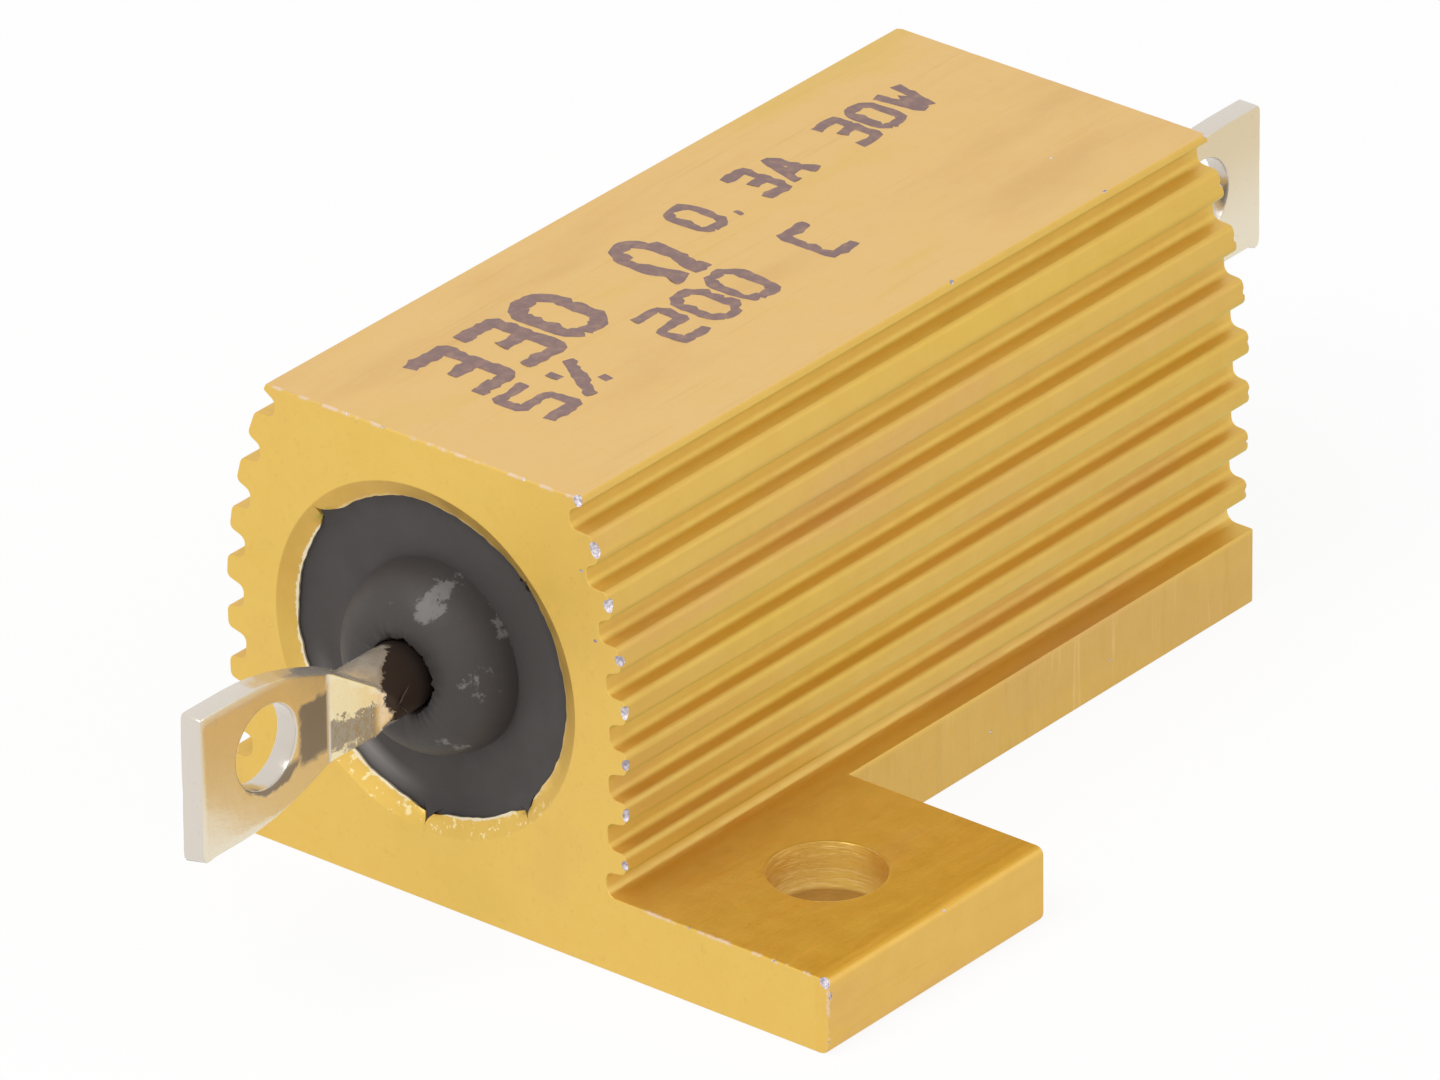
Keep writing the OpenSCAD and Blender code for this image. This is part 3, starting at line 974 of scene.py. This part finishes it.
def lobe(angle, centre, width):
    """1 at an angle, falling smoothly to 0 at width degrees from it."""
    away = abs((angle - centre + 180) % 360 - 180)
    return 0.5 + 0.5 * math.cos(math.pi * min(1, away / width))


CRATER_ANGLE = 42


def uneven_nose(x, r, angle):
    """A ragged crater mouth, wider on one side of the shank."""
    place = (math.copysign(-FRONT + BOSS_H, x), 3 * math.cos(angle), 3 * math.sin(angle))
    seen = nose_angle(x, math.cos(angle), BORE_Z + math.sin(angle))
    outer = -FRONT - abs(x)
    if outer < RECESS - 0.05 and SHANK_R + 0.02 < r < BOSS_R - 0.1:
        near = max(0, 1 - abs(r - CRATER_R) / 0.5)
        ragged = 0.1 * ripple(place, 0.45, 1) + 0.05 * ripple(place, 0.2, 2)
        opened = lobe(seen, CRATER_ANGLE - 20, 120)
        tightest = SHANK_R + 0.02 + 0.05 * max(0, 1 - (outer + BOSS_H) / CRATER_DEPTH)
        r = max(r + near * (0.1 * opened - 0.16 + ragged), tightest)
        if outer > -BOSS_H + 0.1 and r < CRATER_R + 0.1:
            x += math.copysign(0.45 * (1 - opened) * min(1, (outer + BOSS_H) / 0.5), x)
        x += math.copysign(0.04, x) * (ripple(place, 0.4, 5) - 1) * near
    return x, r


def moulding():
    obj = revolved("end_moulding", moulding_outline(), 288, uneven_nose)
    black = black_moulding()
    obj.data.materials.append(black)
    seats = split_seats("tongue_seats")
    tongue = split("tongue", lambda r: cone_depth(r) + 0.1 + max(0, 1.5 * (LIP_R - r)), 0.012)
    triangulated(obj)
    splits_tree("UNION").apply(obj, seats=seats, wedge=tongue, finish=black)
    drop(seats, tongue)
    points = coordinates(obj)
    dust, crater_painted_shade, painted_reflection = np.zeros(len(points)), np.zeros(len(points)), np.zeros(len(points))
    for index, (x, y, z) in enumerate(points):
        r = math.hypot(y, z - BORE_Z)
        if abs(x) < -FRONT - RECESS - 0.05:
            continue
        angle = nose_angle(x, y, z)
        dome = min(1, max(0, 1.6 - abs(r - 2.35) / 0.5))
        # A painted highlight along one side of the boss's rim, stored with the dust.
        arc = max(0, 1 - abs(r - BOSS_R - 0.02) / 0.1) * lobe(angle, 35, 50)
        patches = max(0.66 * lobe(angle, 70, 30), 0.5 * lobe(angle, 8, 50), 0.5 * lobe(angle, -50, 30))
        dust[index] = max(0.24, 0.36 * dome, dome * patches, 0.75 * arc)
        # Painted shade inside the crater, on the side where it opens.
        crater_painted_shade[index] = max(0, min(1, (CRATER_R - 0.05 - r) / 0.12)) * lobe(angle, CRATER_ANGLE - 20, 150)
        # Painted reflection band near the lip's lower side.
        painted_reflection[index] = lobe(angle, 230, 42) * max(0, 1 - abs(r - 4.4) / 0.42)
    store(obj, "dust", dust)
    store(obj, "crater_painted_shade", crater_painted_shade)
    store(obj, "painted_reflection", painted_reflection)
    obj.name = "end_moulding"
    return smooth(obj, 50)


# ---- Terminals

def terminal(node):
    """The tinned terminal: the CAD solid with every edge softened and a run of tin at its lower tip."""
    source = frame["nodes"][node]
    obj = link(bpy.data.objects.new("tinned_" + node, source.data.copy()))
    edit(obj, lambda bm: bmesh.ops.remove_doubles(bm, verts=bm.verts, dist=1e-6))
    obj.data.materials.clear()
    edit(obj, lambda bm: bmesh.ops.dissolve_limit(
        bm, angle_limit=math.radians(1), verts=bm.verts, edges=bm.edges))
    soften(obj, 0.06, 3, 25)

    end = -1 if "front" in node else 1
    def stations(bm):
        planes = [((end * (-FRONT - 1.2 + 0.2 * k), 0, 0), (1, 0, 0)) for k in range(56)]
        planes += [((0, 0, BORE_Z + 0.4 * k), (0, 0, 1)) for k in range(-5, 7)]
        for at, along in planes:
            bmesh.ops.bisect_plane(bm, geom=bm.verts[:] + bm.edges[:] + bm.faces[:],
                                   plane_co=[c * MM for c in at], plane_no=along)

    edit(obj, stations)
    points = coordinates(obj)
    tip = abs(points[:, 0]).max()
    foot = points[:, 2].min()
    for index, (x, y, z) in enumerate(points):
        at_tip = max(0, 1 - (tip - abs(x)) / 0.5) * max(0, 1 - (z - foot) / 0.9)
        far = 0.5 - 0.5 * math.tanh(6 * y * end)
        points[index, 2] -= 0.3 * at_tip * (0.4 + 0.6 * far)
        uneven = 0.5 + 0.5 * ripple((x, y, z), 0.6, 3)
        points[index, 0] -= end * 0.05 * max(0, 1 - (tip - abs(x)) / 0.2) * uneven
    set_coordinates(obj, points)
    obj.data.materials.append(tinned_metal())
    return smooth(obj, 40)


# ---- Marking

# Strokes of each plain figure on a grid 4 wide and 6 high
FIGURES = {
    "0": [[(1, 0), (3, 0), (4, 1), (4, 5), (3, 6), (1, 6), (0, 5), (0, 1), (1, 0)]],
    "2": [[(0, 6), (4, 6), (4, 3), (0, 3), (0, 0), (4, 0)]],
    "3": [[(0, 6), (4, 6), (4, 0), (0, 0)], [(1.2, 3.1), (4, 3.1)]],
    "5": [[(4, 6), (0, 6), (0, 3.2), (4, 3.2), (4, 0), (0, 0)]],
    ".": [[(0.2, 0.1), (0.7, 0.1)]],
    "%": [[(0, 0), (4, 6)], [(0.2, 5), (1.1, 5)], [(2.9, 1), (3.8, 1)]],
    "o": [[(0, 0), (1.3, 0), (0.3, 2.3), (0.3, 4.5), (1.2, 6), (2.8, 6), (3.7, 4.5), (3.7, 2.3), (2.7, 0),
           (4, 0)]],
    "A": [[(0, 0), (2, 6), (4, 0)], [(1, 2), (3, 2)]],
    "C": [[(4, 6), (0, 6), (0, 0), (4, 0)]],
    "W": [[(0, 6), (1, 0), (2, 3.5), (3, 0), (4, 6)]],
}

# Plain values stamped on the top: words, left end x, right end x, foot y, height, stroke width
STAMPS = [
    ("330 o", -10.6, -0.9, 0.55, 2.35, 0.54),
    ("0.3A", 0.6, 5.4, 1.7, 1.5, 0.38),
    ("30W", 7.2, 10.7, 1.7, 1.5, 0.38),
    ("5%", -10.6, -7.6, -1.9, 1.75, 0.4),
    ("200", -4.8, -0.8, -1.9, 1.75, 0.4),
    ("C", 1.6, 2.6, -1.9, 1.75, 0.4),
]


def stamp_strokes(words, left, right, foot, height):
    """Points and edges of the strokes of some words, fitted between left and right at height 0."""
    pitch = (right - left) / (len(words) - 0.34)
    wide = 0.66 * pitch / 4
    points, edges = [], []
    for place, letter in enumerate(words):
        for stroke in FIGURES.get(letter, []):
            first = len(points)
            points += [(left + place * pitch + u * wide, foot + v * height / 6, 0) for u, v in stroke]
            edges += [(k, k + 1) for k in range(first, len(points) - 1)]
    return points, edges


def inked_strokes_tree():
    """Lays a flat, ragged line of ink along each stroke."""
    tree = Tree("inked_strokes", Width="Float", Thickness="Float", Step="Float", Wander="Float",
                Seed="Float", Ink="Material")
    given = tree.inputs
    path = tree.node("GeometryNodeMeshToCurve", Mesh=given["Geometry"])
    spaced = tree.node("GeometryNodeResampleCurve", {"mode": "LENGTH"}, Curve=path, Length=given["Step"])
    place = tree.node("GeometryNodeInputPosition").outputs[0]
    rough = tree.node("ShaderNodeTexNoise", {"noise_dimensions": "4D"}, Vector=place, W=given["Seed"],
                      Scale=3.0 / MM, Detail=2.0)
    centred = tree.node("ShaderNodeVectorMath", {"operation": "SUBTRACT"}, rough.outputs["Color"], (0.5,) * 3)
    shift = tree.node("ShaderNodeVectorMath", {"operation": "SCALE"}, Vector=centred, Scale=given["Wander"])
    wandering = tree.node("GeometryNodeSetPosition", Geometry=spaced, Offset=shift)
    swell = tree.node("ShaderNodeMapRange", Value=rough.outputs["Fac"], From_Min=0.3, From_Max=0.7,
                      To_Min=0.6, To_Max=1.3)
    half = tree.node("ShaderNodeMath", {"operation": "MULTIPLY"}, Value=given["Width"], Value_001=0.5)
    nib = tree.node("GeometryNodeCurvePrimitiveCircle", Resolution=8, Radius=half)
    line = tree.node("GeometryNodeCurveToMesh", Curve=wandering, Profile_Curve=nib,
                     Scale=swell, Fill_Caps=True)
    flat = tree.node("ShaderNodeCombineXYZ", X=1.0, Y=1.0, Z=given["Thickness"])
    pressed = tree.node("GeometryNodeTransform", Geometry=line, Scale=flat)
    return tree.finish(tree.faced(pressed, "Ink"))


def marking():
    """Stamped plain values, as one thin piece on the flat top."""
    ink, tree, lines = stamping_ink(), inked_strokes_tree(), []
    for seed, (words, left, right, foot, height, width) in enumerate(STAMPS):
        points, edges = stamp_strokes(words, left, right, foot, height)
        line = mesh_object("ink_line", points, [], edges)
        tree.apply(line, width=width * MM, thickness=0.06, step=0.16 * MM, wander=0.3 * MM,
                   seed=float(seed), ink=ink)
        lines.append(line)
    with bpy.context.temp_override(active_object=lines[0], selected_editable_objects=lines):
        bpy.ops.object.join()
    lines[0].data.transform(Matrix.Translation((0, 0, BODY_H * MM)))
    lines[0].name = "value_marking"
    return smooth(lines[0], 60)


# ---- The element inside

def winding_tree():
    """A close helix of round wire along X."""
    tree = Tree("helix_winding", Turns="Float", Radius="Float", Length="Float", Wire_Radius="Float",
                Alloy="Material")
    given = tree.inputs
    helix = tree.node("GeometryNodeCurveSpiral", Resolution=32, Rotations=given["Turns"],
                      Start_Radius=given["Radius"], End_Radius=given["Radius"], Height=given["Length"])
    wire = tree.node("GeometryNodeCurvePrimitiveCircle", Resolution=10, Radius=given["Wire Radius"])
    coil = tree.node("GeometryNodeCurveToMesh", Curve=helix, Profile_Curve=wire, Fill_Caps=True)
    return tree.finish(tree.faced(coil, "Alloy"))


def winding():
    """The resistance wire, one layer of close turns on the core."""
    length = WINDING_HIGH.x - WINDING_LOW.x
    turns = round(length / (2 * WIRE_R)) - 1
    obj = mesh_object("wire_winding", [(0, 0, 0)], [])
    winding_tree().apply(obj, turns=float(turns), radius=(CORE_R + WIRE_R) * MM, wire_radius=WIRE_R * MM,
                         length=(length - 2 * WIRE_R) * MM, alloy=resistance_alloy())
    obj.data.transform(Matrix.Rotation(math.pi / 2, 4, "Y"))
    obj.data.transform(Matrix.Translation(((WINDING_LOW.x + WIRE_R) * MM, 0, BORE_Z * MM)))
    return smooth(obj, 60)


# ---- Stage

VIEW_AZIMUTH = -50.807
VIEW_ELEVATION = 27.91
VIEW_ROLL = -0.641
VIEW_DISTANCE = 482.5
VIEW_AIM = (-0.959, 0.093, 5.708)
LENS = 441.4


def look_at(obj, aim, azimuth, elevation, distance, roll=0):
    """Stands obj back from aim, in a direction given in degrees, and turns it to face aim."""
    around, up = math.radians(azimuth), math.radians(elevation)
    back = Vector((math.sin(around) * math.cos(up), -math.cos(around) * math.cos(up), math.sin(up)))
    turn = (-back).to_track_quat("-Z", "Y").to_matrix() @ Matrix.Rotation(math.radians(roll), 3, "Z")
    obj.matrix_world = Matrix.Translation((Vector(aim) + back * distance) * MM) @ turn.to_4x4()


def camera():
    """A long lens that looks down on the front end and the -Y flank."""
    data = bpy.data.cameras.new("camera")
    data.lens = LENS
    data.sensor_width = 36
    data.clip_end = 10
    obj = link(bpy.data.objects.new("camera", data))
    look_at(obj, VIEW_AIM, VIEW_AZIMUTH, VIEW_ELEVATION, VIEW_DISTANCE, VIEW_ROLL)
    bpy.context.scene.camera = obj


def area_light(name, azimuth, elevation, distance, size, power):
    """A soft round light that looks at the part from a direction."""
    data = bpy.data.lights.new(name, "AREA")
    data.shape = "DISK"
    data.size = size * MM
    data.energy = power
    look_at(link(bpy.data.objects.new(name, data)), (0, 0, BODY_H / 2), azimuth, elevation, distance)


def by_ray(nodes, unseen, seen):
    """One value on camera, glossy and transmission rays, and another on the rest."""
    path = nodes.node("ShaderNodeLightPath")
    total = path.outputs["Is Camera Ray"]
    for name in ("Is Glossy Ray", "Is Transmission Ray"):
        total = nodes.node("ShaderNodeMath", {"operation": "MAXIMUM"}, total, path.outputs[name])
    return nodes.node("ShaderNodeMapRange", None, total, 0, 1, unseen, seen)


def world():
    """White all round to the eye and in reflections, and softer as light."""
    made = bpy.data.worlds.new("studio")
    made.use_nodes = True
    nodes = Nodes(made.node_tree)
    background = made.node_tree.nodes["Background"]
    nodes.fill(background.inputs["Color"], (1, 1, 1, 1))
    nodes.fill(background.inputs["Strength"], by_ray(nodes, 0.7, 0.96))
    bpy.context.scene.world = made


def floor():
    """A white sheet that keeps a faint shadow."""
    obj = box("floor", (-900, -900, -1), (900, 900, -0.005))
    material = bpy.data.materials.new("white_sheet")
    material.use_nodes = True
    material.node_tree.nodes.clear()
    nodes = Nodes(material.node_tree)
    paper = nodes.node("ShaderNodeBsdfDiffuse", Color=(0.86, 0.86, 0.86, 1))
    glow = nodes.node("ShaderNodeEmission", Color=(1, 1, 1, 1))
    sheet = nodes.node("ShaderNodeMixShader", None, by_ray(nodes, 0, 0.9), paper, glow)
    nodes.node("ShaderNodeOutputMaterial", Surface=sheet)
    obj.data.materials.append(material)


def stage():
    camera()
    world()
    floor()
    area_light("key", -95, 55, 260, 160, 0.3)
    area_light("fill", 20, 35, 300, 200, 0.12)
    bpy.context.scene.view_settings.view_transform = "Standard"


# ---- Assembly

def carry(node, material):
    """Gives a CAD node that stays its own finish."""
    data = frame["nodes"][node].data
    data.materials.clear()
    data.materials.append(material)


def place(piece, slot, *nodes):
    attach(piece, "root")
    if nodes:
        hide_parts(*nodes)


stage()
place(housing(), "anodised_housing", "housing")
place(moulding(), "black_moulding", "moulding")
place(terminal("terminal_front"), "tinned_terminal", "terminal_front")
place(terminal("terminal_rear"), "tinned_terminal", "terminal_rear")
place(marking(), "anodised_housing")
place(winding(), "resistance_wire", "resistance_winding")
carry("ceramic_core", steatite())
steel = pressed_steel()
carry("end_cap_front", steel)
carry("end_cap_rear", steel)
